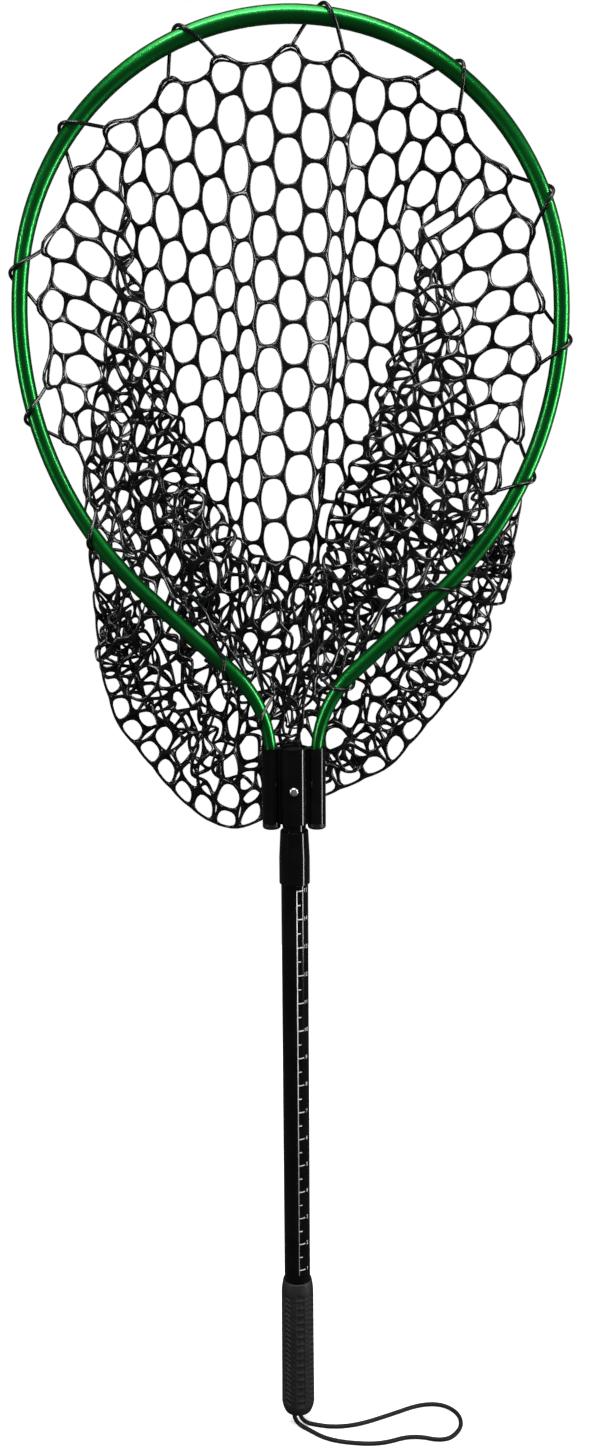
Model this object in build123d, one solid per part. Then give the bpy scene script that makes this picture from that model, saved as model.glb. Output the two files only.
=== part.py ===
from build123d import *

import os
from math import cos, pi, radians, sin, tan

# Landing net with a telescopic handle.
# Frame in millimetres: the origin is the middle of the hand grip, on the handle's axis.
# +Z runs up the handle towards the hoop, +X is to the right, and -Y is the net's open side.

# Handle
TUBE_R = 11.6
TUBE_WALL = 1.2
TUBE_BORE_R = TUBE_R - TUBE_WALL
TUBE_BOTTOM = -62.0
TUBE_TOP = 470.0
GRIP_HALF = 66.0
GRIP_RIM_R = 13.3
GRIP_R = 14.9
COLLAR_BOTTOM = 440.0
COLLAR_SHOULDER = 463.0
COLLAR_TOP = 487.0
COLLAR_R = 13.1
COLLAR_TOP_R = 12.0
BUSH_WALL = 0.6
PRINT_THICK = 0.12
SCALE_WINDOW_X = 3.4
SCALE_WINDOW = 13.0

# Telescopic inner tube and its twist lock
INNER_R = 10.0
INNER_WALL = 1.2
INNER_BOTTOM = -8.0
GUIDE_GAP = 0.05
LOCK_BOTTOM = -40.0
LOCK_RING_LOW = -34.0
LOCK_RING_HIGH = -14.0
CAM_R = 6.6
CAM_OFFSET = 0.6

# Yoke: an extruded block of three upright barrels
YOKE_BOTTOM = 493.5
YOKE_TOP = 559.0
BARREL_R = 12.5
SIDE_BARREL_R = 7.75
LEG_X = 19.2
YOKE_WEB = 9.0
CAP_HEIGHT = 5.0
BUTTON_Z = 523.5
BUTTON_R = 3.75
SCREW_Z = 530.0
SCREW_R = 1.6
SCREW_HEAD_R = 3.0
SCREW_HEAD = 1.6
SOCKET_R = 1.2
SOCKET_DEPTH = 1.0
PIN_FOOT = -7.0
PIN_PROUD = 2.6

# Hoop: a crown arc, a wider arc down each side, a straight, and a leg that curves into the yoke
CROWN_RADIUS = 215.0
SIDE_RADIUS = 300.0
LEG_RADIUS = 100.0
LEG_ANGLE = 47.0
SIDE_LIFT = 9.2
LEG_CURVE_Z = 550.6
LEG_END_Z = 500.0
HOOP_CROWN_R = 7.4
HOOP_SIDE_R = 6.4
HOOP_LEG_R = 4.75
HOOP_WALL = 1.3
LOOP_STRAND_R = 1.4
LOOP_SLACK = 0.3
SIDE_LOOPS = [0.12, 0.42, 0.72]
CROWN_LOOPS = [0.02, 0.25, 0.48, 0.71, 0.94]

# Net bag: a plain thin shell in the space that the moulded mesh fills
BAG_FRONT = 15.0
BAG_BACK = 110.0
BAG_WALL = 1.5
BAG_CROWN_R = 207.0
MOUTH_R = 200.0
BAG_FOOT = [
    (-190, 840), (-178, 700), (-163, 595), (-100, 494), (-65, 465), (-25, 482),
    (30, 507), (84, 522), (152, 600), (186, 702), (195, 850),
]
MOUTH_FOOT = [(-180, 815), (-105, 685), (-34, 622), (34, 622), (105, 685), (180, 815)]

# Lanyard: a wrist loop of braided cord, out of the butt plug and back
CORD_R = 2.0
CORD_START_Z = -60.0
LANYARD = [
    (0.6, 0, -60), (0.6, 0, -72), (5.5, -2.5, -79.2), (16, -5.5, -80), (32, -9, -80),
    (55, -6, -80), (86, 9, -80), (114, 24, -80), (136, 24, -80), (150, 9, -80),
    (150, -12, -80), (134, -31, -80), (104, -21, -80), (75, -34, -80), (44, -31.5, -80),
    (24, -25, -80), (10, -13, -80), (-1, -5, -79), (-4.6, 0, -72), (-4.6, 0, -60),
]
SLOT_CENTRE_X = -2.0


def ring(outer_r, inner_r, low, high):
    """An upright tube between two heights."""
    body = Cylinder(outer_r, high - low, align=(Align.CENTER, Align.CENTER, Align.MIN))
    bore = Cylinder(inner_r, high - low + 2, align=(Align.CENTER, Align.CENTER, Align.MIN))
    return Pos(0, 0, low) * body - Pos(0, 0, low - 1) * bore


def rod(radius, low, high, x=0.0, y=0.0):
    """An upright solid cylinder."""
    body = Cylinder(radius, high - low, align=(Align.CENTER, Align.CENTER, Align.MIN))
    return Pos(x, y, low) * body


def cross_rod(radius, front, back, x, z):
    """A solid cylinder along Y."""
    face = Plane(origin=(x, front, z), z_dir=(0, 1, 0)) * Circle(radius)
    return extrude(face, amount=back - front)


def turned(points):
    """A body of revolution about Z from its half outline of (radius, height) points."""
    outline = Plane.XZ * make_face(Polyline(*points, close=True))
    return revolve(outline, Axis.Z)


# ---- handle ----


def handle_tube():
    return ring(TUBE_R, TUBE_BORE_R, TUBE_BOTTOM, TUBE_TOP)


def handle_collar():
    body = turned([
        (0, COLLAR_BOTTOM), (COLLAR_R - 0.6, COLLAR_BOTTOM), (COLLAR_R, COLLAR_BOTTOM + 0.6),
        (COLLAR_R, COLLAR_SHOULDER), (COLLAR_TOP_R, COLLAR_TOP - 0.8), (COLLAR_TOP_R - 0.5, COLLAR_TOP),
        (0, COLLAR_TOP),
    ])
    body -= rod(TUBE_R, COLLAR_BOTTOM - 1, TUBE_TOP)
    return body - rod(TUBE_BORE_R + BUSH_WALL, COLLAR_BOTTOM, COLLAR_TOP + 1)


def collar_bush():
    return ring(TUBE_BORE_R + BUSH_WALL, INNER_R + GUIDE_GAP, TUBE_TOP, COLLAR_TOP - 1)


def length_scale():
    """The printed scale, a thin skin on the front of the tube."""
    skin = ring(TUBE_R + PRINT_THICK, TUBE_R, GRIP_HALF + 3, COLLAR_BOTTOM - 1)
    middle = (GRIP_HALF + COLLAR_BOTTOM) / 2
    window = Pos(SCALE_WINDOW_X, -TUBE_R, middle) * Box(SCALE_WINDOW, TUBE_R, COLLAR_BOTTOM - GRIP_HALF)
    return skin & window


def grip():
    body = turned([
        (0, -GRIP_HALF), (GRIP_R - 2.6, -GRIP_HALF), (GRIP_R - 0.4, -GRIP_HALF + 7), (GRIP_R, -GRIP_HALF + 10),
        (GRIP_R - 0.4, GRIP_HALF - 22), (GRIP_R - 0.9, GRIP_HALF - 8), (GRIP_RIM_R, GRIP_HALF - 1),
        (GRIP_RIM_R - 0.6, GRIP_HALF), (0, GRIP_HALF),
    ])
    return body - rod(TUBE_R, -GRIP_HALF - 1, GRIP_HALF + 1)


def butt_plug():
    """A cup in the end of the tube, with a slot for the wrist loop in its floor."""
    cup = rod(TUBE_R, -GRIP_HALF, TUBE_BOTTOM) + rod(TUBE_BORE_R, TUBE_BOTTOM, -44)
    cup -= rod(TUBE_BORE_R - 1.6, CORD_START_Z, -43)
    slot = SlotOverall(2 * CORD_R + 5.6, 2 * CORD_R + 0.4)
    return cup - extrude(Pos(SLOT_CENTRE_X, 0, -GRIP_HALF - 1) * slot, amount=10)


def lanyard_knot():
    knot = rod(6.4, CORD_START_Z, CORD_START_Z + 12, SLOT_CENTRE_X)
    return fillet(knot.edges(), 3.0)


def lanyard_radii():
    """The largest radius at each corner that its two runs allow."""
    radii = []
    for before, here, after in zip(LANYARD, LANYARD[1:], LANYARD[2:]):
        first = Vector(*here) - Vector(*before)
        second = Vector(*after) - Vector(*here)
        turn = first.get_angle(second)
        shorter = min(first.length, second.length)
        radii.append(0.45 * shorter / tan(radians(turn / 2)))
    return radii


def lanyard_cord():
    radii = lanyard_radii()
    path = FilletPolyline(*LANYARD, radius=radii)
    section = Plane(origin=LANYARD[0], z_dir=path % 0) * Circle(CORD_R)
    cord = sweep(section, path=path)
    nominal = pi * CORD_R**2 * path.length
    print("lanyard radii", [round(r, 1) for r in radii])
    print("lanyard length", round(path.length, 1), "volume ratio", round(cord.volume / nominal, 4))
    return cord


# ---- telescopic inner tube and lock ----


def inner_tube():
    tube = ring(INNER_R, INNER_R - INNER_WALL, INNER_BOTTOM, YOKE_TOP - 4)
    return tube - cross_rod(BUTTON_R + 0.1, -INNER_R - 1, 0, 0, BUTTON_Z)


def inner_tube_cap():
    """A plug in the tube's top end."""
    flange = rod(INNER_R, YOKE_TOP - 4, YOKE_TOP - 2)
    return flange + rod(INNER_R - INNER_WALL, YOKE_TOP - 14, YOKE_TOP - 4)


def lock_cam():
    """A plug in the tube's lower end, with an eccentric journal and a head under it."""
    plug = rod(INNER_R, -12, INNER_BOTTOM) + rod(INNER_R - INNER_WALL, INNER_BOTTOM, 14)
    journal = rod(CAM_R, LOCK_RING_LOW - 2, -12, CAM_OFFSET)
    return plug + journal + rod(9.6, LOCK_BOTTOM, LOCK_RING_LOW - 2)


def lock_ring():
    """The split ring that the cam presses against the outer tube."""
    body = ring(TUBE_BORE_R - GUIDE_GAP, CAM_R + CAM_OFFSET + 0.5, LOCK_RING_LOW, LOCK_RING_HIGH)
    split = Pos(0, TUBE_BORE_R - 1.5, (LOCK_RING_LOW + LOCK_RING_HIGH) / 2) * Box(2.4, 8, 30)
    return body - split


# ---- yoke ----


def yoke_body(spans):
    profile = Circle(BARREL_R) + Rectangle(2 * LEG_X, YOKE_WEB)
    profile += Pos(LEG_X, 0) * Circle(SIDE_BARREL_R) + Pos(-LEG_X, 0) * Circle(SIDE_BARREL_R)
    body = Pos(0, 0, YOKE_BOTTOM) * extrude(profile, amount=YOKE_TOP - YOKE_BOTTOM)
    body -= rod(INNER_R, YOKE_BOTTOM - 1, YOKE_TOP + 1)
    for side in (-1, 1):
        body -= rod(HOOP_LEG_R, YOKE_BOTTOM - 1, YOKE_TOP + 1, side * LEG_X)
        body -= cross_rod(SCREW_R, 0, BARREL_R, side * LEG_X, SCREW_Z)
    leg = spans[1]
    flare = tapered_pipe(leg[0], leg[1] + 0.1, leg[2] + 0.1)
    body -= flare + mirror(flare, about=Plane.YZ)
    return body - cross_rod(BUTTON_R + 0.1, -BARREL_R - 2, 0, 0, BUTTON_Z)


def yoke_cap(side):
    """An end cap under a side barrel, with a spigot in the bore."""
    disc = rod(SIDE_BARREL_R, YOKE_BOTTOM - CAP_HEIGHT, YOKE_BOTTOM, side * LEG_X)
    disc = fillet(disc.edges().sort_by(Axis.Z)[:1], 2.2)
    spigot = rod(HOOP_LEG_R, YOKE_BOTTOM, LEG_END_Z, side * LEG_X)
    return disc + spigot - rod(INNER_R + 0.3, YOKE_BOTTOM - 10, YOKE_BOTTOM + 1)


def hoop_screws():
    """Screws in the back of the side barrels, which hold the hoop's ends."""
    screws = []
    for side in (-1, 1):
        shank = cross_rod(SCREW_R, HOOP_LEG_R, SIDE_BARREL_R, side * LEG_X, SCREW_Z)
        head = cross_rod(SCREW_HEAD_R, SIDE_BARREL_R, SIDE_BARREL_R + SCREW_HEAD, side * LEG_X, SCREW_Z)
        floor = SIDE_BARREL_R + SCREW_HEAD - SOCKET_DEPTH
        socket = cross_rod(SOCKET_R, floor, floor + 2 * SOCKET_DEPTH, side * LEG_X, SCREW_Z)
        screws.append(shank + head - socket)
    return Compound(children=screws)


def snap_button():
    """A domed pin through the tube and the yoke, with a head inside the tube."""
    pin = cross_rod(BUTTON_R, -BARREL_R - PIN_PROUD, PIN_FOOT, 0, BUTTON_Z)
    pin = fillet(pin.edges().sort_by(Axis.Y)[:1], 1.8)
    head = cross_rod(BUTTON_R + 1.0, PIN_FOOT, PIN_FOOT + 1.0, 0, BUTTON_Z)
    return pin + head


def button_spring():
    """A bent leaf inside the inner tube that pushes the button out."""
    half_width = 3.0
    with BuildPart() as leaf:
        with BuildSketch(Plane.YZ.offset(-half_width)):
            with BuildLine():
                Polyline((-5.9, BUTTON_Z + 5), (-5.9, BUTTON_Z - 6), (1.5, BUTTON_Z - 34),
                         (4.5, BUTTON_Z - 34), (7.6, BUTTON_Z - 4), (7.0, BUTTON_Z - 4),
                         (4.0, BUTTON_Z - 33.2), (2.0, BUTTON_Z - 33.2), (-5.3, BUTTON_Z - 5.8),
                         (-5.3, BUTTON_Z + 5), close=True)
            make_face()
        extrude(amount=2 * half_width)
    return leaf.part


# ---- hoop ----


def hoop_straight():
    """Length of the straight run between the leg's curve and the side arc."""
    side_x = (CROWN_RADIUS - SIDE_RADIUS) * cos(radians(SIDE_LIFT))
    top_x = side_x + SIDE_RADIUS * cos(radians(LEG_ANGLE))
    leg_x = LEG_X + LEG_RADIUS * (1 - cos(radians(LEG_ANGLE)))
    return (top_x - leg_x) / sin(radians(LEG_ANGLE))


def hoop_spans():
    """The right half of the hoop's centreline, from the yoke to the crown, as (edge, radius, radius)."""
    in_yoke = Line((LEG_X, LEG_END_Z), (LEG_X, LEG_CURVE_Z))
    leg = JernArc(in_yoke @ 1, (0, 1), LEG_RADIUS, -LEG_ANGLE)
    middle = Line(leg @ 1, leg @ 1 + leg % 1 * hoop_straight())
    side = JernArc(middle @ 1, leg % 1, SIDE_RADIUS, LEG_ANGLE + SIDE_LIFT)
    crown = JernArc(side @ 1, side % 1, CROWN_RADIUS, 90 - SIDE_LIFT)
    return [
        (Plane.XZ * in_yoke, HOOP_LEG_R, HOOP_LEG_R), (Plane.XZ * leg, HOOP_LEG_R, HOOP_SIDE_R),
        (Plane.XZ * middle, HOOP_SIDE_R, HOOP_SIDE_R), (Plane.XZ * side, HOOP_SIDE_R, HOOP_SIDE_R),
        (Plane.XZ * crown, HOOP_SIDE_R, HOOP_CROWN_R),
    ]


def tapered_pipe(edge, start_r, end_r):
    start = Plane(origin=edge @ 0, z_dir=edge % 0) * Circle(start_r)
    if start_r == end_r:
        return sweep(start, path=edge)
    end = Plane(origin=edge @ 1, z_dir=edge % 1) * Circle(end_r)
    return sweep([start, end], path=edge, multisection=True)


def hoop_tube(spans):
    outer = Part()
    inner = Part()
    for edge, start_r, end_r in spans:
        outer += tapered_pipe(edge, start_r, end_r)
        inner += tapered_pipe(edge, start_r - HOOP_WALL, end_r - HOOP_WALL)
    half = outer - inner
    return half + mirror(half, about=Plane.YZ)


def rim_loops(spans):
    """Strands of the bag's edge where they pass round the hoop, as rings of one strand."""
    side, crown = spans[3], spans[4]
    stations = [(side, place) for place in SIDE_LOOPS] + [(crown, place) for place in CROWN_LOOPS]
    loops = []
    for (edge, start_r, end_r), place in stations:
        tube_r = start_r + (end_r - start_r) * place
        loop = Torus(tube_r + LOOP_STRAND_R + LOOP_SLACK, LOOP_STRAND_R)
        right = Plane(origin=edge @ place, z_dir=edge % place) * loop
        loops += [right, mirror(right, about=Plane.YZ)]
    return Compound(children=loops)


# ---- net bag ----


def bag_outline(crown_r, foot, inset=0.0):
    """The bag's outline seen from the front: a round top and a lopsided foot."""
    crown_z = LEG_CURVE_Z + LEG_RADIUS * sin(radians(LEG_ANGLE))
    crown_z += (hoop_straight() * cos(radians(LEG_ANGLE))
                + SIDE_RADIUS * sin(radians(LEG_ANGLE)) + (SIDE_RADIUS - CROWN_RADIUS) * sin(radians(SIDE_LIFT)))
    outline = Pos(0, crown_z) * Circle(crown_r) + make_face(Polyline(*foot, close=True))
    return offset(outline, amount=-inset) if inset else outline


def plate(sketch, front, back):
    """An upright plate from a front-view sketch, between two depths."""
    return extrude(Plane.XZ.offset(-front) * sketch, amount=-(back - front))


def net_bag():
    outer = plate(bag_outline(BAG_CROWN_R, BAG_FOOT), BAG_FRONT, BAG_BACK)
    hollow = plate(bag_outline(BAG_CROWN_R, BAG_FOOT, BAG_WALL), BAG_FRONT + BAG_WALL, BAG_BACK - BAG_WALL)
    mouth = plate(bag_outline(MOUTH_R, MOUTH_FOOT), BAG_FRONT - 1, BAG_FRONT + BAG_WALL + 1)
    return outer - hollow - mouth


def main():
    os.makedirs("parts", exist_ok=True)
    spans = hoop_spans()
    parts = {
        "handle_tube": handle_tube(),
        "handle_collar": handle_collar(),
        "collar_bush": collar_bush(),
        "length_scale": length_scale(),
        "grip": grip(),
        "butt_plug": butt_plug(),
        "lanyard_cord": lanyard_cord(),
        "lanyard_knot": lanyard_knot(),
        "inner_tube": inner_tube(),
        "inner_tube_cap": inner_tube_cap(),
        "lock_cam": lock_cam(),
        "lock_ring": lock_ring(),
        "yoke_body": yoke_body(spans),
        "yoke_cap_left": yoke_cap(-1),
        "yoke_cap_right": yoke_cap(1),
        "hoop_screws": hoop_screws(),
        "snap_button": snap_button(),
        "button_spring": button_spring(),
        "hoop_tube": hoop_tube(spans),
        "rim_loops": rim_loops(spans),
        "net_bag": net_bag(),
    }
    for name, shape in parts.items():
        export_step(shape, f"parts/{name}.step")
        print(name, round(shape.volume, 1))


main()
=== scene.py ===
# %% [markdown]
# # A landing net
# A round-topped hoop of green anodised tube, a bag of moulded black rubber mesh, a black yoke that
# clamps the hoop, and a telescopic handle with a rubber grip and a wrist loop.
# The hard pieces come from the CAD model and keep their shape here. This lesson gives them their
# finishes and makes what CAD can't: the draped mesh, its rim, the cord, the moulded grip and the print.

# %% Load the frame
from bisect import bisect
from math import atan2, ceil, cos, pi, radians, sin, sqrt

import bmesh
import bpy
from mathutils import Matrix, Vector


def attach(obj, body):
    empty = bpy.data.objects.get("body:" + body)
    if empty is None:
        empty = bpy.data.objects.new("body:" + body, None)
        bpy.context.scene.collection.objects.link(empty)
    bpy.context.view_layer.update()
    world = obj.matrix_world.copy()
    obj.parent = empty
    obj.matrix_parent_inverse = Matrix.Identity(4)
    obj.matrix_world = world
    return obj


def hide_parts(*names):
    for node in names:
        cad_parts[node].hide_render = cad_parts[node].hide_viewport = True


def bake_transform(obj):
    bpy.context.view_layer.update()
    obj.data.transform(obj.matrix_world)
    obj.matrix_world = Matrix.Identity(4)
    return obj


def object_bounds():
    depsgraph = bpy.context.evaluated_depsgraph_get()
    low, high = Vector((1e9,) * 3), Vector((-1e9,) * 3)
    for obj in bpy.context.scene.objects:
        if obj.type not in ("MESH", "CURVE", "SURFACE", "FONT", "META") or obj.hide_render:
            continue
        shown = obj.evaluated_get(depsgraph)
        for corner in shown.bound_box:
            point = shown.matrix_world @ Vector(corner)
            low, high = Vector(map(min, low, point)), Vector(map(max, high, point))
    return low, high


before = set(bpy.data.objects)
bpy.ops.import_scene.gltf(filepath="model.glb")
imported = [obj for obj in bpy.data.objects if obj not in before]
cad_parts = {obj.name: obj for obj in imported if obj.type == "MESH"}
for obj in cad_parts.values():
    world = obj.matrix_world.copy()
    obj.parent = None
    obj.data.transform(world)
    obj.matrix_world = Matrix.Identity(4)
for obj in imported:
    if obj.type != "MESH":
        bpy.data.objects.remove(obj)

scene = bpy.context.scene
MM = 0.001
cad_box = [list(corner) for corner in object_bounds()]

# %% [markdown]
# ## Camera and studio
# The net stands upright and is seen from the front, from a little above the middle of its handle.
# A camera that is pitched down keeps its verticals nearly straight here because the lens is long for
# the distance. The turn about its own axis is tiny: the net leans by a third of a degree.

# %% Camera
CAMERA_PLACE = Vector((0.0092, -1.323, 0.859))
CAMERA_PITCH = radians(12)
CAMERA_ROLL = radians(-0.32)
LENS = 39.94

camera_data = bpy.data.cameras.new("camera")
camera_data.sensor_width = 36.0
camera_data.sensor_fit = "AUTO"
camera_data.lens = LENS
camera = bpy.data.objects.new("camera", camera_data)
scene.collection.objects.link(camera)
tilt = Matrix.Rotation(pi / 2 - CAMERA_PITCH, 4, "X") @ Matrix.Rotation(CAMERA_ROLL, 4, "Z")
camera.matrix_world = Matrix.Translation(CAMERA_PLACE) @ tilt
scene.camera = camera
print("camera at", tuple(round(x, 3) for x in CAMERA_PLACE))

# %% [markdown]
# ## Floor and light
# Black pieces take their shape from what they mirror. So the room is dim apart from long soft boxes:
# a tall one on the right gives every upright tube its bright line, a weaker one on the left gives
# the second line, and one above and in front lights the crown. A very soft sun shows forms between
# them. The floor and the sky are white to the camera and dark to every other ray, through a Light
# Path node, so that the black handle doesn't mirror a wide white field.

# %% Floor, sky and soft boxes
FLOOR_Z = cad_box[0][2]
FLOOR_R = 1.3


def linked(obj):
    scene.collection.objects.link(obj)
    return obj


def mesh_object(name, bm):
    """A new object from a bmesh, smooth shaded."""
    mesh = bpy.data.meshes.new(name)
    bm.to_mesh(mesh)
    bm.free()
    for polygon in mesh.polygons:
        polygon.use_smooth = True
    return linked(bpy.data.objects.new(name, mesh))


bm = bmesh.new()
bmesh.ops.create_circle(bm, cap_ends=True, segments=96, radius=FLOOR_R)
bmesh.ops.translate(bm, verts=bm.verts, vec=(0, 0, FLOOR_Z))
floor = mesh_object("studio_floor", bm)
floor_paint = bpy.data.materials.new("floor_paint")
floor_paint.use_nodes = True
paint = floor_paint.node_tree
floor_shader = paint.nodes["Principled BSDF"]
floor_shader.inputs["Roughness"].default_value = 0.9
floor_shader.inputs["Specular IOR Level"].default_value = 0.1
floor_shader.inputs["Emission Color"].default_value = (1, 1, 1, 1)
floor_rays = paint.nodes.new("ShaderNodeLightPath")
for socket, unseen_value, seen_value in (("Base Color", 0.04, 0.88), ("Emission Strength", 0, 0.55)):
    by_ray = paint.nodes.new("ShaderNodeMapRange")
    by_ray.inputs["To Min"].default_value = unseen_value
    by_ray.inputs["To Max"].default_value = seen_value
    paint.links.new(floor_rays.outputs["Is Camera Ray"], by_ray.inputs["Value"])
    paint.links.new(by_ray.outputs["Result"], floor_shader.inputs[socket])
floor.data.materials.append(floor_paint)


def soft_box(name, place, target, width, height, watts):
    """A rectangular light at place that faces target, with its height upright."""
    data = bpy.data.lights.new(name, "AREA")
    data.shape = "RECTANGLE"
    data.size = width
    data.size_y = height
    data.energy = watts
    light = linked(bpy.data.objects.new(name, data))
    aim = (Vector(target) - Vector(place)).to_track_quat("-Z", "Y")
    light.matrix_world = Matrix.Translation(place) @ aim.to_matrix().to_4x4()
    return light


soft_box("box_right", (2.05, -0.62, 0.75), (0, 0, 0.75), 0.20, 2.3, 45)
soft_box("box_left", (-1.75, -1.05, 0.95), (0, 0, 0.85), 0.14, 1.2, 14)
soft_box("box_above", (0.0, -1.3, 2.7), (0, 0, 0.9), 1.8, 0.22, 40)
sun_data = bpy.data.lights.new("soft_sun", "SUN")
sun_data.energy = 1.8
sun_data.angle = radians(50)
sun = linked(bpy.data.objects.new("soft_sun", sun_data))
sun.rotation_euler = (radians(12), radians(-6), 0)

scene.view_settings.view_transform = "Standard"
world = bpy.data.worlds.new("studio")
scene.world = world
world.use_nodes = True
sky = world.node_tree
sky.nodes.clear()
seen = sky.nodes.new("ShaderNodeBackground")
seen.inputs["Color"].default_value = (1, 1, 1, 1)
lighting = sky.nodes.new("ShaderNodeBackground")
lighting.inputs["Color"].default_value = (0.93, 0.97, 1, 1)
lighting.inputs["Strength"].default_value = 0.07
choice = sky.nodes.new("ShaderNodeMixShader")
rays = sky.nodes.new("ShaderNodeLightPath")
result = sky.nodes.new("ShaderNodeOutputWorld")
sky.links.new(rays.outputs["Is Camera Ray"], choice.inputs[0])
sky.links.new(lighting.outputs[0], choice.inputs[1])
sky.links.new(seen.outputs[0], choice.inputs[2])
sky.links.new(choice.outputs[0], result.inputs["Surface"])
print("floor at", round(FLOOR_Z, 4), "lights", len(bpy.data.lights))

# %% [markdown]
# ## Finishes
# Each finish is one Principled shader. What is the same all over is a plain number on its socket,
# and what varies comes from noise on Object coordinates: a little in the colour, more in the
# roughness, and fine relief through a Bump node.

# %% Tools for finishes


def finish(name, **sockets):
    """A material with the given values on its Principled sockets, with _ for a space."""
    material = bpy.data.materials.new(name)
    material.use_nodes = True
    shader = material.node_tree.nodes["Principled BSDF"]
    for socket, value in sockets.items():
        shader.inputs[socket.replace("_", " ")].default_value = value
    return material


def node(material, kind, **values):
    """A new node, with its inputs set by name."""
    made = material.node_tree.nodes.new("ShaderNode" + kind)
    for socket, value in values.items():
        made.inputs[socket.replace("_", " ")].default_value = value
    return made


def join(material, source, target):
    material.node_tree.links.new(source, target)


def noise(material, scale, stretch=(1, 1, 1), detail=3.0, roughness=0.5):
    """Noise on Object coordinates, in repeats per metre, squeezed along each axis by stretch."""
    place = node(material, "TexCoord")
    mapping = node(material, "Mapping", Scale=stretch)
    texture = node(material, "TexNoise", Scale=scale, Detail=detail, Roughness=roughness)
    join(material, place.outputs["Object"], mapping.inputs["Vector"])
    join(material, mapping.outputs[0], texture.inputs["Vector"])
    return texture.outputs["Fac"]


def spread(material, source, low, high, socket):
    """The source's middle range, as low to high, on a socket of the Principled shader."""
    scale = node(material, "MapRange", From_Min=0.3, From_Max=0.7, To_Min=low, To_Max=high)
    join(material, source, scale.inputs["Value"])
    join(material, scale.outputs["Result"], material.node_tree.nodes["Principled BSDF"].inputs[socket])


def tinted(material, source, dark, light):
    """The base colour, from dark to light by the source."""
    ramp = node(material, "ValToRGB")
    ramp.color_ramp.elements[0].position = 0.3
    ramp.color_ramp.elements[1].position = 0.7
    ramp.color_ramp.elements[0].color = (*dark, 1)
    ramp.color_ramp.elements[1].color = (*light, 1)
    join(material, source, ramp.inputs["Fac"])
    join(material, ramp.outputs["Color"], material.node_tree.nodes["Principled BSDF"].inputs["Base Color"])


def relief(material, source, height, strength=1.0):
    """Bump from the source, height metres from its lowest to its highest."""
    bump = node(material, "Bump", Strength=strength, Distance=height)
    join(material, source, bump.inputs["Height"])
    join(material, bump.outputs["Normal"], material.node_tree.nodes["Principled BSDF"].inputs["Normal"])


# %% [markdown]
# ### Metals
# The hoop is aluminium tube, polished, anodised and dyed deep green: a metal whose own colour tints
# its reflections, under a clear glassy film. Drawing leaves fine lines and the dye is not quite even.
# The handle, collar and yoke are anodised black, which looks like gloss enamel with faint draw lines.

# %% Anodised metal, steel
green_anodised = finish("green_anodised", Metallic=1.0, Coat_Weight=0.45, Coat_Roughness=0.10)
tinted(green_anodised, noise(green_anodised, 14, detail=5), (0.005, 0.190, 0.024), (0.010, 0.250, 0.038))
spread(green_anodised, noise(green_anodised, 30, detail=1), 0.33, 0.40, "Roughness")
relief(green_anodised, noise(green_anodised, 90, detail=1), 0.00002, 0.1)

black_anodised = finish("black_anodised", Specular_IOR_Level=0.28)
tinted(black_anodised, noise(black_anodised, 40, detail=5),
       (0.0012, 0.0012, 0.0014), (0.004, 0.004, 0.0045))
spread(black_anodised, noise(black_anodised, 160, (1, 1, 0.02), detail=1), 0.09, 0.14, "Roughness")
relief(black_anodised, noise(black_anodised, 900, (1, 1, 0.008)), 0.00003, 0.08)

steel = finish("polished_steel", Metallic=1.0)
tinted(steel, noise(steel, 90), (0.80, 0.80, 0.78), (0.92, 0.92, 0.90))
spread(steel, noise(steel, 1200, (1, 1, 0.1)), 0.28, 0.38, "Roughness")

# %% [markdown]
# ### Plastic, rubber, nylon and print
# The caps and the butt plug are moulded plastic with a fine spark-eroded grain. The grip is a softer,
# duller rubber. The mesh is a slick rubber that shows small grey glints along its strands.

# %% Plastics and rubbers
black_plastic = finish("black_plastic", Specular_IOR_Level=0.4)
tinted(black_plastic, noise(black_plastic, 60), (0.006, 0.006, 0.007), (0.012, 0.012, 0.013))
spread(black_plastic, noise(black_plastic, 500), 0.30, 0.45, "Roughness")
relief(black_plastic, noise(black_plastic, 2600), 0.00005, 0.4)

lock_plastic = finish("lock_plastic", Specular_IOR_Level=0.4)
tinted(lock_plastic, noise(lock_plastic, 60), (0.10, 0.10, 0.10), (0.14, 0.14, 0.14))
spread(lock_plastic, noise(lock_plastic, 500), 0.35, 0.5, "Roughness")

grip_rubber = finish("grip_rubber", Specular_IOR_Level=0.42)
tinted(grip_rubber, noise(grip_rubber, 70, detail=6), (0.010, 0.010, 0.011), (0.019, 0.019, 0.021))
spread(grip_rubber, noise(grip_rubber, 400), 0.46, 0.62, "Roughness")
relief(grip_rubber, noise(grip_rubber, 1800, detail=4), 0.00012, 0.5)

mesh_rubber = finish("mesh_rubber", Specular_IOR_Level=0.5)
tinted(mesh_rubber, noise(mesh_rubber, 50), (0.0035, 0.0035, 0.004), (0.008, 0.008, 0.009))
spread(mesh_rubber, noise(mesh_rubber, 350), 0.13, 0.24, "Roughness")
relief(mesh_rubber, noise(mesh_rubber, 900), 0.00015, 0.2)

print_white = finish("print_white", Specular_IOR_Level=0.4)
tinted(print_white, noise(print_white, 260, detail=6), (0.52, 0.52, 0.50), (0.80, 0.80, 0.78))
spread(print_white, noise(print_white, 500), 0.35, 0.6, "Roughness")
print("finishes", len(bpy.data.materials))

# %% [markdown]
# ## The CAD pieces keep their shape
# These pieces have their final shape already, so each only gets its finish.

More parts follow.
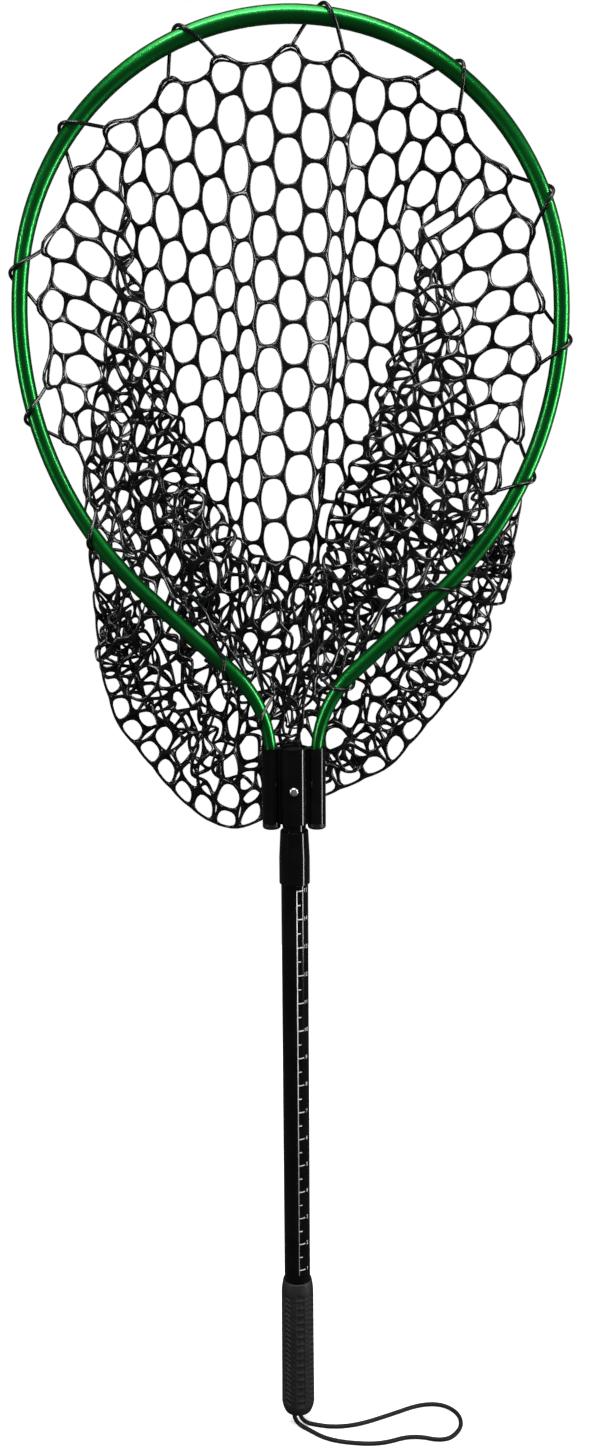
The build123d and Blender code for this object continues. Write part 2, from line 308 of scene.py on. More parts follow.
# %% Finish the CAD pieces
CAD_FINISHES = {
    black_anodised: ["handle_tube", "handle_collar", "inner_tube", "yoke_body"],
    green_anodised: ["hoop_tube"],
    steel: ["snap_button", "button_spring", "hoop_screws"],
    black_plastic: ["yoke_cap_left", "yoke_cap_right", "butt_plug", "inner_tube_cap", "collar_bush"],
    lock_plastic: ["lock_cam", "lock_ring"],
}
for material, names in CAD_FINISHES.items():
    for name in names:
        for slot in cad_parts[name].material_slots:
            slot.material = material
print("finished", sum(len(names) for names in CAD_FINISHES.values()), "CAD pieces")

# %% [markdown]
# ## The spring behind the button
# A bent steel leaf inside the inner tube pushes the button out. Its back leg rests on the tube, and
# its front leg follows the button when that is pressed in, so the real piece bends between the two.
# Here it is only copied into an object of its own and keeps its CAD shape.

# %% Leaf spring
spring_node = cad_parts["button_spring"]
leaf = linked(bpy.data.objects.new("leaf_spring", spring_node.data.copy()))
leaf.matrix_world = spring_node.matrix_world.copy()
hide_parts("button_spring")
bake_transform(leaf)
print("leaf spring points", len(leaf.data.vertices))

# %% [markdown]
# ## The wrist loop
# A braided nylon cord, 4 mm thick, comes out of the butt plug, lies on the ground in a long loose
# loop and goes back in. Its line is a NURBS spline whose control points were placed one by one.
# A curve's own bevel makes the round cord, and its UV map runs along and around it, so two crossing
# sets of waves on it draw the braid whichever way the cord turns.

# %% Braided cord
CORD_R = 2 * MM
CORD_EXIT = (0.0006, 0, -0.060)
CORD_ROUTE = [
    CORD_EXIT, (0.0006, 0, -0.072), (0.0055, -0.0025, -0.0792), (0.016, -0.0055, -0.080),
    (0.032, -0.009, -0.080), (0.055, -0.006, -0.080), (0.086, 0.009, -0.080), (0.114, 0.024, -0.080),
    (0.136, 0.024, -0.080), (0.150, 0.009, -0.080), (0.150, -0.012, -0.080), (0.134, -0.031, -0.080),
    (0.104, -0.021, -0.080), (0.075, -0.034, -0.080), (0.044, -0.0315, -0.080), (0.024, -0.025, -0.080),
    (0.010, -0.013, -0.080), (-0.001, -0.005, -0.079), (-0.0046, 0, -0.072), (-0.0046, 0, -0.060),
]
BRAID_PITCH = 4.5 * MM
BRAID_STRANDS = 8
CORD_LENGTH = 0.383

nylon = finish("braided_nylon", Specular_IOR_Level=0.28, Sheen_Weight=0.08, Sheen_Roughness=0.4)
tinted(nylon, noise(nylon, 700), (0.003, 0.003, 0.0035), (0.008, 0.008, 0.009))
spread(nylon, noise(nylon, 900), 0.55, 0.75, "Roughness")
cord_place = node(nylon, "TexCoord")
waves = []
for lean in (1, -1):
    turned = node(nylon, "Mapping", Scale=(CORD_LENGTH / BRAID_PITCH, lean * BRAID_STRANDS / 2, 1))
    wave = node(nylon, "TexWave", Scale=0.16)
    wave.bands_direction = "DIAGONAL"
    join(nylon, cord_place.outputs["UV"], turned.inputs["Vector"])
    join(nylon, turned.outputs[0], wave.inputs["Vector"])
    waves.append(wave.outputs["Fac"])
crossing = node(nylon, "Math")
crossing.operation = "MAXIMUM"
join(nylon, waves[0], crossing.inputs[0])
join(nylon, waves[1], crossing.inputs[1])
relief(nylon, crossing.outputs[0], 0.0005, 0.6)


def spline_curve(name, radius):
    """An empty 3-D curve with a round section."""
    curve = bpy.data.curves.new(name, "CURVE")
    curve.dimensions = "3D"
    curve.bevel_depth = radius
    curve.bevel_resolution = 3
    curve.resolution_u = 12
    curve.use_fill_caps = True
    return curve


def add_nurbs(curve, points):
    """A smooth open spline with these control points."""
    spline = curve.splines.new("NURBS")
    spline.points.add(len(points) - 1)
    for target, place in zip(spline.points, points):
        target.co = (*place, 1)
    spline.order_u = 3
    spline.use_endpoint_u = True


cord_curve = spline_curve("wrist_cord", CORD_R)
add_nurbs(cord_curve, CORD_ROUTE)
cord_curve.materials.append(nylon)
wrist_cord = linked(bpy.data.objects.new("wrist_cord", cord_curve))
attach(wrist_cord, "handle")
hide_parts("lanyard_cord")
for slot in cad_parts["lanyard_knot"].material_slots:
    slot.material = nylon
print("cord route points", len(CORD_ROUTE))

# %% [markdown]
# ## The grip
# A moulded rubber sleeve over the handle's lower end. It is almost straight, and its surface has
# three repeats around of one pattern: a sunk strip with cross bars, a smooth band with a row of
# dimples on each side of it, and a wide sunk field of slanting ribs.
# The half outline is spun round the axis into a fine grid, and a short formula then moves each
# outside point in or out along its radius.

# %% Moulded grip
GRIP_HALF = 66 * MM
GRIP_BORE_R = 11.65 * MM
GRIP_R = 14.9 * MM
GRIP_RIM_R = 13.3 * MM
GRIP_TAPER = 0.5 * MM
FOOT_HEIGHT = 9 * MM
FOOT_IN = 2.6 * MM
SHOULDER_HEIGHT = 14 * MM
GRIP_AROUND = 168
GRIP_UP = 150
PANELS = 3
PANEL_TURN = radians(11)
STRIP_HALF = radians(15)
BAND_EDGE = radians(36)
DIMPLE_AT = radians(24)
SUNK = 0.8 * MM
BAR_PITCH = 7.2 * MM
DIMPLE_PITCH = 4.6 * MM
RIB_PITCH = 5.0 * MM
RIB_SLANT = 6.0 * MM


def grip_radius(height):
    """The sleeve's outside radius before its pattern, at a height from its middle."""
    foot = min((height + GRIP_HALF) / FOOT_HEIGHT, 1)
    shoulder = min((GRIP_HALF - height) / SHOULDER_HEIGHT, 1)
    rise = (height + GRIP_HALF) / (2 * GRIP_HALF)
    body = GRIP_R - GRIP_TAPER * rise
    return body - FOOT_IN * (1 - foot) ** 1.6 - (GRIP_R - GRIP_RIM_R) * (1 - shoulder) ** 2


def ridge(distance, pitch, share=0.5):
    """1 on a ridge and 0 in the groove beside it, with soft flanks."""
    across = abs((distance / pitch) % 1 - 0.5) * 2
    return min(max((across - 1 + share) * 4, 0), 1)


def grip_pattern(angle, height):
    """How far the surface stands in from the plain sleeve."""
    around = (angle - PANEL_TURN + pi / PANELS) % (2 * pi / PANELS) - pi / PANELS
    inside = min(max((GRIP_HALF - 9 * MM - abs(height)) / (3 * MM), 0), 1)
    off = abs(around)
    if off < STRIP_HALF:
        edge = min((STRIP_HALF - off) / radians(3), 1)
        return SUNK * inside * edge * (1 - 0.85 * ridge(height, BAR_PITCH, 0.42))
    if off < BAND_EDGE:
        beside = (off - DIMPLE_AT) * GRIP_R
        along = ((height / DIMPLE_PITCH) % 1 - 0.5) * DIMPLE_PITCH
        dip = max(1 - (beside * beside + along * along) / (1.0 * MM) ** 2, 0)
        return 0.6 * SUNK * inside * dip
    edge = min((off - BAND_EDGE) / radians(3), 1)
    return SUNK * inside * edge * (1 - ridge(height + RIB_SLANT * around, RIB_PITCH, 0.55))


bm = bmesh.new()
heights = [GRIP_HALF * (2 * step / GRIP_UP - 1) for step in range(GRIP_UP + 1)]
outline = [(GRIP_BORE_R, -GRIP_HALF)] + [(grip_radius(z), z) for z in heights] + [(GRIP_BORE_R, GRIP_HALF)]
profile = [bm.verts.new((0, -r, z)) for r, z in outline]
edges = [bm.edges.new((a, b)) for a, b in zip(profile, profile[1:] + profile[:1])]
bmesh.ops.spin(bm, geom=profile + edges, cent=(0, 0, 0), axis=(0, 0, 1), angle=2 * pi,
               steps=GRIP_AROUND, use_merge=True)
bmesh.ops.remove_doubles(bm, verts=bm.verts, dist=0.01 * MM)
for vert in bm.verts:
    radius = sqrt(vert.co.x**2 + vert.co.y**2)
    if radius > GRIP_BORE_R + 0.2 * MM:
        inward = grip_pattern(atan2(vert.co.x, -vert.co.y), vert.co.z)
        vert.co.xy *= (radius - inward) / radius
bmesh.ops.recalc_face_normals(bm, faces=bm.faces)
grip = mesh_object("ribbed_grip", bm)
grip.data.materials.append(grip_rubber)
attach(grip, "handle")
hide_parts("grip")
print("grip faces", len(grip.data.polygons))

# %% [markdown]
# ## The printed scale
# A white ruler is printed up the front of the black tube: one thin line, a long tick every inch, a
# short one between, and a small number beside each long tick. The marks are drawn flat, with x as
# the distance around the tube, and then wrapped on it and thickened to a film of ink.

# %% Scale marks
TUBE_R = 11.6 * MM
INCH = 25.4 * MM
SCALE_LOW = 80 * MM
INCHES = 14
LINE_AT = 1.9 * MM
LINE_WIDTH = 0.75 * MM
LINE_TAIL = 5 * MM
TICK_WIDTH = 1.0 * MM
LONG_TICK = 5.9 * MM
SHORT_TICK = 3.2 * MM
NUMBER_AT = 10.6 * MM
NUMBER_SIZE = 5.2 * MM
INK = 0.12 * MM


def flat_mark(bm, left, right, low, high):
    """A flat rectangle in x and z, cut across so that it can bend round the tube."""
    cuts = max(1, ceil((right - left) / (0.8 * MM)))
    made = bmesh.ops.create_grid(bm, x_segments=cuts, y_segments=1, size=0.5)["verts"]
    for vert in made:
        vert.co = (left + (vert.co.x + 0.5) * (right - left), 0, low + (vert.co.y + 0.5) * (high - low))


def flat_number(bm, text, x, z):
    """A number as filled outlines, centred on x and z."""
    lettering = bpy.data.curves.new("number", "FONT")
    lettering.body = text
    lettering.size = NUMBER_SIZE
    lettering.align_x = "CENTER"
    lettering.align_y = "CENTER"
    lettering.resolution_u = 3
    carrier = linked(bpy.data.objects.new("number", lettering))
    mesh = bpy.data.meshes.new_from_object(carrier)
    bpy.data.objects.remove(carrier)
    mesh.transform(Matrix.Translation((x, 0, z)) @ Matrix.Rotation(pi / 2, 4, "X"))
    bm.from_mesh(mesh)
    bpy.data.meshes.remove(mesh)


bm = bmesh.new()
flat_mark(bm, LINE_AT - LINE_WIDTH / 2, LINE_AT + LINE_WIDTH / 2,
          SCALE_LOW - LINE_TAIL, SCALE_LOW + INCHES * INCH)
for half in range(2 * INCHES + 1):
    z = SCALE_LOW + half * INCH / 2
    reach = SHORT_TICK if half % 2 else LONG_TICK
    flat_mark(bm, LINE_AT, LINE_AT + reach, z - TICK_WIDTH / 2, z + TICK_WIDTH / 2)
    if half % 2 == 0:
        flat_number(bm, str(half // 2 + 1), NUMBER_AT, z)
for vert in bm.verts:
    turn = vert.co.x / TUBE_R
    vert.co = ((TUBE_R + INK) * sin(turn), -(TUBE_R + INK) * cos(turn), vert.co.z)
for face in bm.faces:
    if face.normal.dot(face.calc_center_median() * Vector((1, 1, 0))) < 0:
        face.normal_flip()
scale_print = mesh_object("scale_print", bm)
scale_print.data.materials.append(print_white)
ink = scale_print.modifiers.new("ink", "SOLIDIFY")
ink.thickness = INK
ink.offset = -1
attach(scale_print, "handle")
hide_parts("length_scale")
print("scale faces", len(scale_print.data.polygons))

# %% [markdown]
# ## The hoop's line
# The bag hangs from the hoop, so the bag's rim needs the hoop's line: an arc over the crown, a wider
# arc down each side, a straight, and a reverse arc into the yoke. The same function gives the line
# moved inwards, where the bag's edge runs.

# %% Hoop outline
CROWN_RADIUS = 215 * MM
SIDE_RADIUS = 300 * MM
LEG_RADIUS = 100 * MM
LEG_ANGLE = radians(47)
SIDE_LIFT = radians(9.2)
LEG_X = 19.2 * MM
LEG_CURVE_Z = 550.6 * MM
LEG_TUBE_R = 4.75 * MM
SIDE_TUBE_R = 6.4 * MM
CROWN_TUBE_R = 7.4 * MM
MEETING_X = 6 * MM
ARC_STEPS = 120

SIDE_X = (CROWN_RADIUS - SIDE_RADIUS) * cos(SIDE_LIFT)
LEG_TOP_X = LEG_X + LEG_RADIUS * (1 - cos(LEG_ANGLE))
LEG_TOP_Z = LEG_CURVE_Z + LEG_RADIUS * sin(LEG_ANGLE)
STRAIGHT = (SIDE_X + SIDE_RADIUS * cos(LEG_ANGLE) - LEG_TOP_X) / sin(LEG_ANGLE)
SIDE_Z = LEG_TOP_Z + STRAIGHT * cos(LEG_ANGLE) + SIDE_RADIUS * sin(LEG_ANGLE)
CROWN_Z = SIDE_Z + (SIDE_RADIUS - CROWN_RADIUS) * sin(SIDE_LIFT)


def arc(centre_x, centre_z, radius, start, end):
    turns = [start + (end - start) * step / ARC_STEPS for step in range(ARC_STEPS + 1)]
    return [Vector((centre_x + radius * cos(t), 0, centre_z + radius * sin(t))) for t in turns]


def hoop_outline(inset):
    """The closed line inside the hoop, clockwise from the crown, as (distance along it, point) pairs."""
    crown = arc(0, CROWN_Z, CROWN_RADIUS - inset, pi / 2, SIDE_LIFT)
    side = arc(SIDE_X, SIDE_Z, SIDE_RADIUS - inset, SIDE_LIFT, -LEG_ANGLE)
    leg = arc(LEG_X + LEG_RADIUS, LEG_CURVE_Z, -(LEG_RADIUS + inset), -LEG_ANGLE, 0)
    right = crown + side[1:] + [point for point in leg if point.x > MEETING_X]
    left = [Vector((-p.x, 0, p.z)) for p in reversed(right)]
    closed = right + left
    outline, reach = [(0.0, closed[0])], 0.0
    for before, after in zip(closed, closed[1:]):
        reach += (after - before).length
        outline.append((reach, after))
    return outline


def point_on(outline, share):
    """The point at a share of the outline's length."""
    distance = share % 1 * outline[-1][0]
    index = min(max(bisect(outline, distance, key=lambda step: step[0]), 1), len(outline) - 1)
    (low, start), (high, end) = outline[index - 1], outline[index]
    return start.lerp(end, (distance - low) / max(high - low, 1e-9))


def hoop_tube_radius(point):
    """The hoop's tube is thickest at the crown and thinnest in the yoke."""
    crown_share = (atan2(point.z - CROWN_Z, abs(point.x)) - SIDE_LIFT) / (pi / 2 - SIDE_LIFT)
    leg_share = (point.z - LEG_CURVE_Z) / (LEG_TOP_Z - LEG_CURVE_Z)
    thinner = (SIDE_TUBE_R - LEG_TUBE_R) * (1 - min(max(leg_share, 0), 1))
    return SIDE_TUBE_R - thinner + (CROWN_TUBE_R - SIDE_TUBE_R) * min(max(crown_share, 0), 1)


hoop_line = hoop_outline(0)
print("hoop line", round(hoop_line[-1][0], 3), "m round")

# %% [markdown]
# ## The bag: a net of moulded cells
# The bag is one moulding of soft rubber. Laid out, it is a tube of six-sided cells, 56 columns round
# the hoop and 17 rows deep, closed flat at its far end. On the real net it hangs from the hoop and
# folds under its own weight.
# A grid of four-sided faces carries the lattice: every second row line between two columns is a
# cell's short side, and the others cross a cell and will be dissolved. Cloth needs them until then,
# because they stop the cells from shearing.

# %% Lattice of the bag
COLUMNS = 56
CELL_ROWS = 17
STEPS = 2 * CELL_ROWS
COLUMN_PITCH = 21 * MM
FLAT = 16 * MM
STEP = 16.4 * MM
QUARTER = COLUMNS // 4
RIM_ROWS = 6
RIM_INSET = 30 * MM
RIM_INSET_SIDE = 21 * MM
TIE_INSET = 22 * MM
TIE_INSET_SIDE = 14 * MM
CROWN_LOW = 0.98
CROWN_HIGH = 1.10
TIE_PULL = 0.2
START_DEPTH = 15 * MM
MIDDLE_Z = 0.86
TIE_PHASE = 0.4

rim_lines = hoop_outline(RIM_INSET_SIDE), hoop_outline(RIM_INSET)
tie_lines = hoop_outline(TIE_INSET_SIDE), hoop_outline(TIE_INSET)


def within_hoop(lines, turn):
    """A point inside the hoop, on the first line at its sides and on the second at its crown."""
    side, crown = (point_on(line, turn) for line in lines)
    share = min(max((crown.z - CROWN_LOW) / (CROWN_HIGH - CROWN_LOW), 0), 1)
    return side.lerp(crown, share)


def seam_share(column):
    """Across the flat end, 1 at its right end and -1 at its left."""
    turn = column % COLUMNS
    if turn <= QUARTER:
        return turn / QUARTER
    if turn <= 3 * QUARTER:
        return (2 * QUARTER - turn) / QUARTER
    return (turn - 4 * QUARTER) / QUARTER


def ring_point(column, share):
    """A point of the unfolded bag, from its rim at share 0 to its flat end at share 1."""
    rim = within_hoop(rim_lines, (column + TIE_PHASE) / COLUMNS)
    flat = share**1.3
    x = (1 - flat) * rim.x + flat * seam_share(column) * QUARTER * COLUMN_PITCH
    return Vector((x, 0, (1 - flat) * (rim.z - MIDDLE_Z)))


def ring_length(share):
    points = [ring_point(step / 2, share) for step in range(2 * COLUMNS + 1)]
    return sum((b - a).length for a, b in zip(points, points[1:]))


bm = bmesh.new()
row_of = bm.verts.layers.int.new("row")
column_of = bm.verts.layers.int.new("column")
bmesh.ops.create_grid(bm, x_segments=COLUMNS, y_segments=STEPS, size=0.5)
ring_scale = []
for row in range(STEPS + 1):
    rim_share = max(1 - row / RIM_ROWS, 0)
    natural = COLUMNS * COLUMN_PITCH * (1 - rim_share) + ring_length(0) * rim_share
    ring_scale.append(natural / ring_length(row / STEPS))
zigzag = 0.5 * (1 - FLAT / COLUMN_PITCH)
for vert in bm.verts:
    column = round((vert.co.x + 0.5) * COLUMNS) % COLUMNS
    row = round((vert.co.y + 0.5) * STEPS)
    vert[row_of], vert[column_of] = row, column
    shift = 0 if row == STEPS else zigzag if (row + column) % 2 == 0 else -zigzag
    place = ring_point(column + shift, row / STEPS) * ring_scale[row]
    vert.co = (place.x, START_DEPTH + STEP * row, MIDDLE_Z + place.z)
bmesh.ops.remove_doubles(bm, verts=bm.verts, dist=0.01 * MM)
first_row = {vert[column_of]: vert for vert in bm.verts if vert[row_of] == 0}
for column in range(1, COLUMNS, 2):
    pull = TIE_PULL if column % 4 == 3 else -TIE_PULL
    place = within_hoop(tie_lines, (column + 0.5 + TIE_PHASE + pull) / COLUMNS)
    tie = bm.verts.new((place.x, 3 * MM, place.z))
    tie[row_of], tie[column_of] = -1, column
    bm.faces.new((first_row[(column + 1) % COLUMNS], first_row[column], tie))
bm.verts.index_update()
bag = mesh_object("bag_lattice", bm)
print("lattice", len(bag.data.vertices), "points", round(ring_length(0), 3), "m round the rim")

# %% [markdown]
# ### Hanging it up
# Cloth hangs the bag. Its ties are pinned, and its flat end is led by two shape keys: first down and
# back in a curve, then in to the line where the folded bag's lower edge rests behind the yoke.
# Meanwhile a wall behind the bag and one on each side close in on it. They stand for the way that
# the soft net stays within its own width once it is shaken down. Every wall only stops what comes
# from the side that its faces look to. Self-collision keeps the folds apart, and the settled shape
# is then copied into the mesh.

# %% Hang the bag
FRAMES = 120
JUST_OVER_ONE = 1.000001
SWUNG = round(FRAMES * 0.35)
LED = round(FRAMES * 0.70)
WALLS_START = round(FRAMES * 0.4)
WALLS_IN = round(FRAMES * 0.80)
BACK_START = round(FRAMES * 0.45)
BACK_IN = round(FRAMES * 0.85)
FRONT_Y = 7 * MM
BACK_Y = 90 * MM
SEAM_Y = 50 * MM
BACK_AWAY = 0.64
WALLS_AWAY = 0.22
WALLS_BELOW = 0.1
SWING_Y = 0.42
SWING_Z = 0.62
SWING_SLOPE = 0.3
SWING_LEVEL = 0.5
FOOT_LINE = [
    (-0.172, 0.690), (-0.167, 0.615), (-0.155, 0.570), (-0.100, 0.499), (-0.060, 0.470), (-0.020, 0.485),
    (0.050, 0.513), (0.085, 0.530), (0.150, 0.608), (0.178, 0.690), (0.190, 0.730), (0.196, 0.770),
]
LEFT_WALL = [
    (-0.215, 1.160), (-0.206, 0.900), (-0.190, 0.800), (-0.178, 0.700), (-0.174, 0.640), (-0.157, 0.555),
    (-0.100, 0.488), (-0.062, 0.459),
]
RIGHT_WALL = [
    (0.221, 1.160), (0.216, 0.900), (0.213, 0.775), (0.188, 0.700), (0.157, 0.600), (0.086, 0.516),
    (0.030, 0.500),
]


def wall(name, line, facing):
    """A collider that runs from front to back along a line of (x, z) points."""
    bm = bmesh.new()
    front = [bm.verts.new((x, -0.1, z)) for x, z in line]
    edges = [bm.edges.new(pair) for pair in zip(front, front[1:])]
    pulled = bmesh.ops.extrude_edge_only(bm, edges=edges)["geom"]
    bmesh.ops.translate(bm, verts=[v for v in pulled if isinstance(v, bmesh.types.BMVert)], vec=(0, 1, 0))
    bm.normal_update()
    for face in bm.faces:
        if face.normal.dot(Vector(facing)) < 0:
            face.normal_flip()
    return collider(mesh_object(name, bm))


def collider(obj):
    obj.modifiers.new("Collision", "COLLISION")
    obj.collision.thickness_outer = 3 * MM
    obj.collision.thickness_inner = 50 * MM
    obj.collision.cloth_friction = 5
    obj.collision.use_culling = True
    return obj


def plate(name, y, facing):
    """A large upright collider across the bag at depth y."""
    bm = bmesh.new()
    bmesh.ops.create_grid(bm, x_segments=1, y_segments=1, size=0.6)
    bmesh.ops.rotate(bm, verts=bm.verts, matrix=Matrix.Rotation(facing * pi / 2, 3, "X"))
    bmesh.ops.translate(bm, verts=bm.verts, vec=(0, y, 0.8))
    return collider(mesh_object(name, bm))


def moved(obj, places):
    """Keyframes of (frame, location)."""
    for moment, place in places:
        obj.location = place
        obj.keyframe_insert("location", frame=moment)


def foot_point(column):
    """Where the flat end's column comes to rest, by its share of the foot line's length."""
    lengths = [(Vector(b) - Vector(a)).length for a, b in zip(FOOT_LINE, FOOT_LINE[1:])]
    distance = (seam_share(column) + 1) / 2 * sum(lengths)
    for (start, end), length in zip(zip(FOOT_LINE, FOOT_LINE[1:]), lengths):
        if distance <= length * JUST_OVER_ONE:
            x, z = Vector(start).lerp(Vector(end), distance / length)
            return Vector((x, SEAM_Y, z))
        distance -= length
    return Vector((FOOT_LINE[-1][0], SEAM_Y, FOOT_LINE[-1][1]))


rows = [item.value for item in bag.data.attributes["row"].data]
columns = [item.value for item in bag.data.attributes["column"].data]
pinned = bag.vertex_groups.new(name="pinned")
pinned.add([i for i, row in enumerate(rows) if row in (-1, 0, STEPS)], 1.0, "REPLACE")
bag.shape_key_add(name="Basis")
swung = bag.shape_key_add(name="swung")
led = bag.shape_key_add(name="led")
for index in [i for i, row in enumerate(rows) if row == STEPS]:
    start = bag.data.vertices[index].co
    end = foot_point(columns[index])
    led.data[index].co = end
    swung.data[index].co = (
        0.6 * start.x + 0.4 * end.x, SWING_Y, SWING_Z + SWING_SLOPE * (end.z - SWING_LEVEL))
for key, values in ((swung, (0, 1, 0)), (led, (0, 0, 1))):
    for moment, value in zip((1, SWUNG, LED), values):
        key.value = value
        key.keyframe_insert("value", frame=moment)

walls = [
    plate("wall_front", FRONT_Y, -1),
    plate("wall_back", 0, 1),
    wall("wall_left", LEFT_WALL, (1, 0, 1)),
    wall("wall_right", RIGHT_WALL, (-1, 0, 1)),
]
moved(walls[1], [(1, (0, BACK_AWAY, 0)), (BACK_START, (0, BACK_AWAY, 0)), (BACK_IN, (0, BACK_Y, 0))])
for side, obj in ((-1, walls[2]), (1, walls[3])):
    away = (side * WALLS_AWAY, 0, -WALLS_BELOW)
    moved(obj, [(1, away), (WALLS_START, away), (WALLS_IN, (0, 0, 0))])
print("walls", [obj.name for obj in walls])

# %% Run the cloth
cloth = bag.modifiers.new("Cloth", "CLOTH")
rubber = cloth.settings
rubber.quality = 8
rubber.mass = 0.012
rubber.tension_stiffness = 30
rubber.compression_stiffness = 10
rubber.shear_stiffness = 2
rubber.bending_stiffness = 0.2
rubber.tension_damping = 5
rubber.compression_damping = 5
rubber.shear_damping = 2
rubber.bending_damping = 0.3
rubber.vertex_group_mass = "pinned"
cloth.collision_settings.distance_min = 3 * MM
cloth.collision_settings.use_self_collision = True
cloth.collision_settings.self_distance_min = 4 * MM
cloth.collision_settings.self_friction = 0
cloth.point_cache.frame_end = FRAMES
scene.frame_end = FRAMES

for moment in range(1, FRAMES + 1):
    scene.frame_set(moment)
shown = bag.evaluated_get(bpy.context.evaluated_depsgraph_get())
settled = [vert.co.copy() for vert in shown.data.vertices]
scene.frame_set(1)
bag.modifiers.clear()
bag.shape_key_clear()
for vert, place in zip(bag.data.vertices, settled):
    vert.co = place
for obj in walls:
    bpy.data.objects.remove(obj)
low = [round(min(p[axis] for p in settled), 3) for axis in range(3)]
high = [round(max(p[axis] for p in settled), 3) for axis in range(3)]
print("settled bag", low, high)

# %% [markdown]
# ### From lattice to strands
# Dissolving the row lines that cross a cell leaves six-sided faces. One cut in each edge keeps their
# sides straight while subdivision rounds their corners. Insetting every face by half a strand and
# deleting its middle leaves the flat web, a Solidify modifier gives it thickness, and Subdivision
# turns its square section into a moulded one with webbed joints.

# %% Strands
STRAND = 3.2 * MM
STRAND_THICK = 3.0 * MM
HOLE_ROUNDING = 0.5
YOKE_CLEAR_Y = 17 * MM
YOKE_SIDE = 36 * MM
YOKE_OVER = 575 * MM


def clear_of_yoke(place):
    """The bag lies behind the yoke, which is deeper than the hoop."""
    beside = min(max((abs(place.x) - YOKE_SIDE) / (20 * MM), 0), 1)
    above = min(max((place.z - YOKE_OVER) / (20 * MM), 0), 1)
    near = 1 - max(beside, above)
    place.y = max(place.y, YOKE_CLEAR_Y * near)


bm = bmesh.new()
bm.from_mesh(bag.data)
row_of = bm.verts.layers.int["row"]
column_of = bm.verts.layers.int["column"]
for vert in bm.verts:
    clear_of_yoke(vert.co)


def crosses_a_cell(edge):
    a, b = edge.verts
    if a[row_of] != b[row_of] or a[row_of] in (-1, STEPS):
        return False
    lower = min(a[column_of], b[column_of])
    if abs(a[column_of] - b[column_of]) > 1:
        lower = COLUMNS - 1
    return (lower + a[row_of]) % 2 == 1


rim_verts = {vert[column_of]: vert.co.copy() for vert in bm.verts if vert[row_of] == 0}
tie_verts = {vert[column_of]: vert.co.copy() for vert in bm.verts if vert[row_of] == -1}
bmesh.ops.dissolve_edges(bm, edges=[e for e in bm.edges if crosses_a_cell(e)], use_verts=False)
cells = len(bm.faces)
bmesh.ops.subdivide_edges(bm, edges=bm.edges, cuts=1)
faces = list(bm.faces)
bmesh.ops.inset_individual(bm, faces=faces, thickness=STRAND / 2, use_even_offset=False)
hole_verts = list({vert for face in faces for vert in face.verts})
bmesh.ops.smooth_vert(bm, verts=hole_verts, factor=HOLE_ROUNDING,
                      use_axis_x=True, use_axis_y=True, use_axis_z=True)
bmesh.ops.delete(bm, geom=faces, context="FACES_ONLY")
web = mesh_object("bag_web", bm)
thickness = web.modifiers.new("thickness", "SOLIDIFY")
thickness.thickness = STRAND_THICK
thickness.offset = 0
rounding = web.modifiers.new("rounding", "SUBSURF")
rounding.levels = 1
rounding.render_levels = 1
strands = bpy.data.meshes.new_from_object(web.evaluated_get(bpy.context.evaluated_depsgraph_get()))
bpy.data.objects.remove(web)
bpy.data.objects.remove(bag)
print("cells", cells, "faces", len(strands.polygons))

# %% Bag halves
def half_of(mesh, name, side):
    """The part of the mesh whose faces are on one side of the middle."""
    bm = bmesh.new()
    bm.from_mesh(mesh)
    far = [face for face in bm.faces if (face.calc_center_median().x > 0) != (side > 0)]
    bmesh.ops.delete(bm, geom=far, context="FACES")
    piece = mesh_object(name, bm)
    piece.data.materials.clear()
    piece.data.materials.append(mesh_rubber)
    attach(piece, "head")
    return piece


bag_left = half_of(strands, "bag_left", -1)
bag_right = half_of(strands, "bag_right", 1)
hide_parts("net_bag")
print("bag faces", len(bag_left.data.polygons), len(bag_right.data.polygons))

# %% [markdown]
# ## The bag's edge and its loops
# A thicker strand is moulded along the bag's edge. At every tie it meets a strand that holds the bag
# to the hoop: neighbouring ties share one, which crosses the front of the hoop aslant, goes round its
# outside and comes back behind. Curves with a round bevel make both, and each becomes one mesh.

# %% Edge strand and hoop loops
EDGE_R = 1.4 * MM
LOOP_R = 1.5 * MM
LOOP_GAP = 0.25 * MM
LOOP_SLANT = 13 * MM
LOOP_TURNS = 8


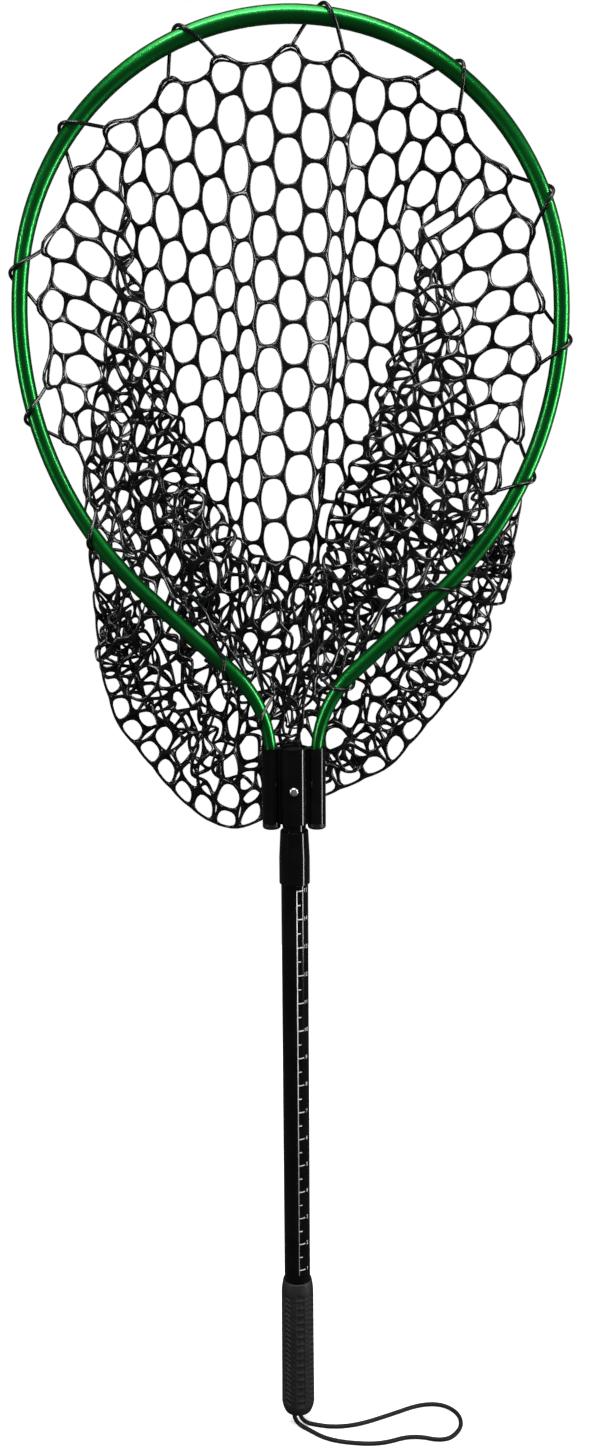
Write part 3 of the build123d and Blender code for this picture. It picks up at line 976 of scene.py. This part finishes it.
def curve_piece(name, curve, body, slot, material, *nodes):
    """The curve as a mesh that stands for these nodes."""
    carrier = linked(bpy.data.objects.new(name + "_line", curve))
    mesh = bpy.data.meshes.new_from_object(carrier.evaluated_get(bpy.context.evaluated_depsgraph_get()))
    bpy.data.objects.remove(carrier)
    bm = bmesh.new()
    bm.from_mesh(mesh)
    bmesh.ops.remove_doubles(bm, verts=bm.verts, dist=0.01 * MM)
    bmesh.ops.recalc_face_normals(bm, faces=bm.faces)
    piece = mesh_object(name, bm)
    piece.data.materials.append(material)
    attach(piece, body)
    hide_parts(*nodes)
    return piece


edge_places = []
for column in range(COLUMNS):
    edge_places.append(rim_verts[column])
    if column in tie_verts:
        edge_places.append(tie_verts[column])
edge_curve = spline_curve("bag_edge", EDGE_R)
edge_curve.resolution_u = 5
edge_spline = edge_curve.splines.new("BEZIER")
edge_spline.bezier_points.add(len(edge_places) - 1)
for point, place in zip(edge_spline.bezier_points, edge_places):
    point.co = place
    point.handle_left_type = point.handle_right_type = "AUTO"
edge_spline.use_cyclic_u = True
curve_piece("bag_edge", edge_curve, "head", "mesh_rubber", mesh_rubber)


def nearest(outline, place):
    return min((point for _, point in outline), key=lambda point: (point - place).length_squared)


def loop_route(start, end):
    """From one tie, over the front of the hoop, round its outside and behind it to the next tie."""
    first, last = nearest(hoop_line, start), nearest(hoop_line, end)
    middle = nearest(hoop_line, (first + last) / 2)
    along = (last - first).normalized()
    outward = (middle - (start + end) / 2).normalized()
    outward = (outward - along * outward.dot(along)).normalized()
    reach = (hoop_tube_radius(middle) + LOOP_R + LOOP_GAP) / cos(pi / LOOP_TURNS)
    route = [start]
    for step in range(LOOP_TURNS - 1):
        turn = 2 * pi * (step - (LOOP_TURNS - 2) / 2) / LOOP_TURNS
        shift = LOOP_SLANT * 2 * (step / (LOOP_TURNS - 2) - 0.5)
        behind = Vector((0, reach * sin(turn), 0))
        route.append(middle + along * shift + outward * reach * cos(turn) + behind)
    return route + [end]


loop_curve = spline_curve("hoop_loops", LOOP_R)
tie_list = [tie_verts[column] for column in sorted(tie_verts)]
tie_list = tie_list[-1:] + tie_list[:-1]
for end, start in zip(tie_list[::2], tie_list[1::2]):
    add_nurbs(loop_curve, loop_route(start, end))
curve_piece("hoop_loops", loop_curve, "head", "mesh_rubber", mesh_rubber, "rim_loops")
print("ties", len(tie_list), "loops", len(tie_list) // 2)
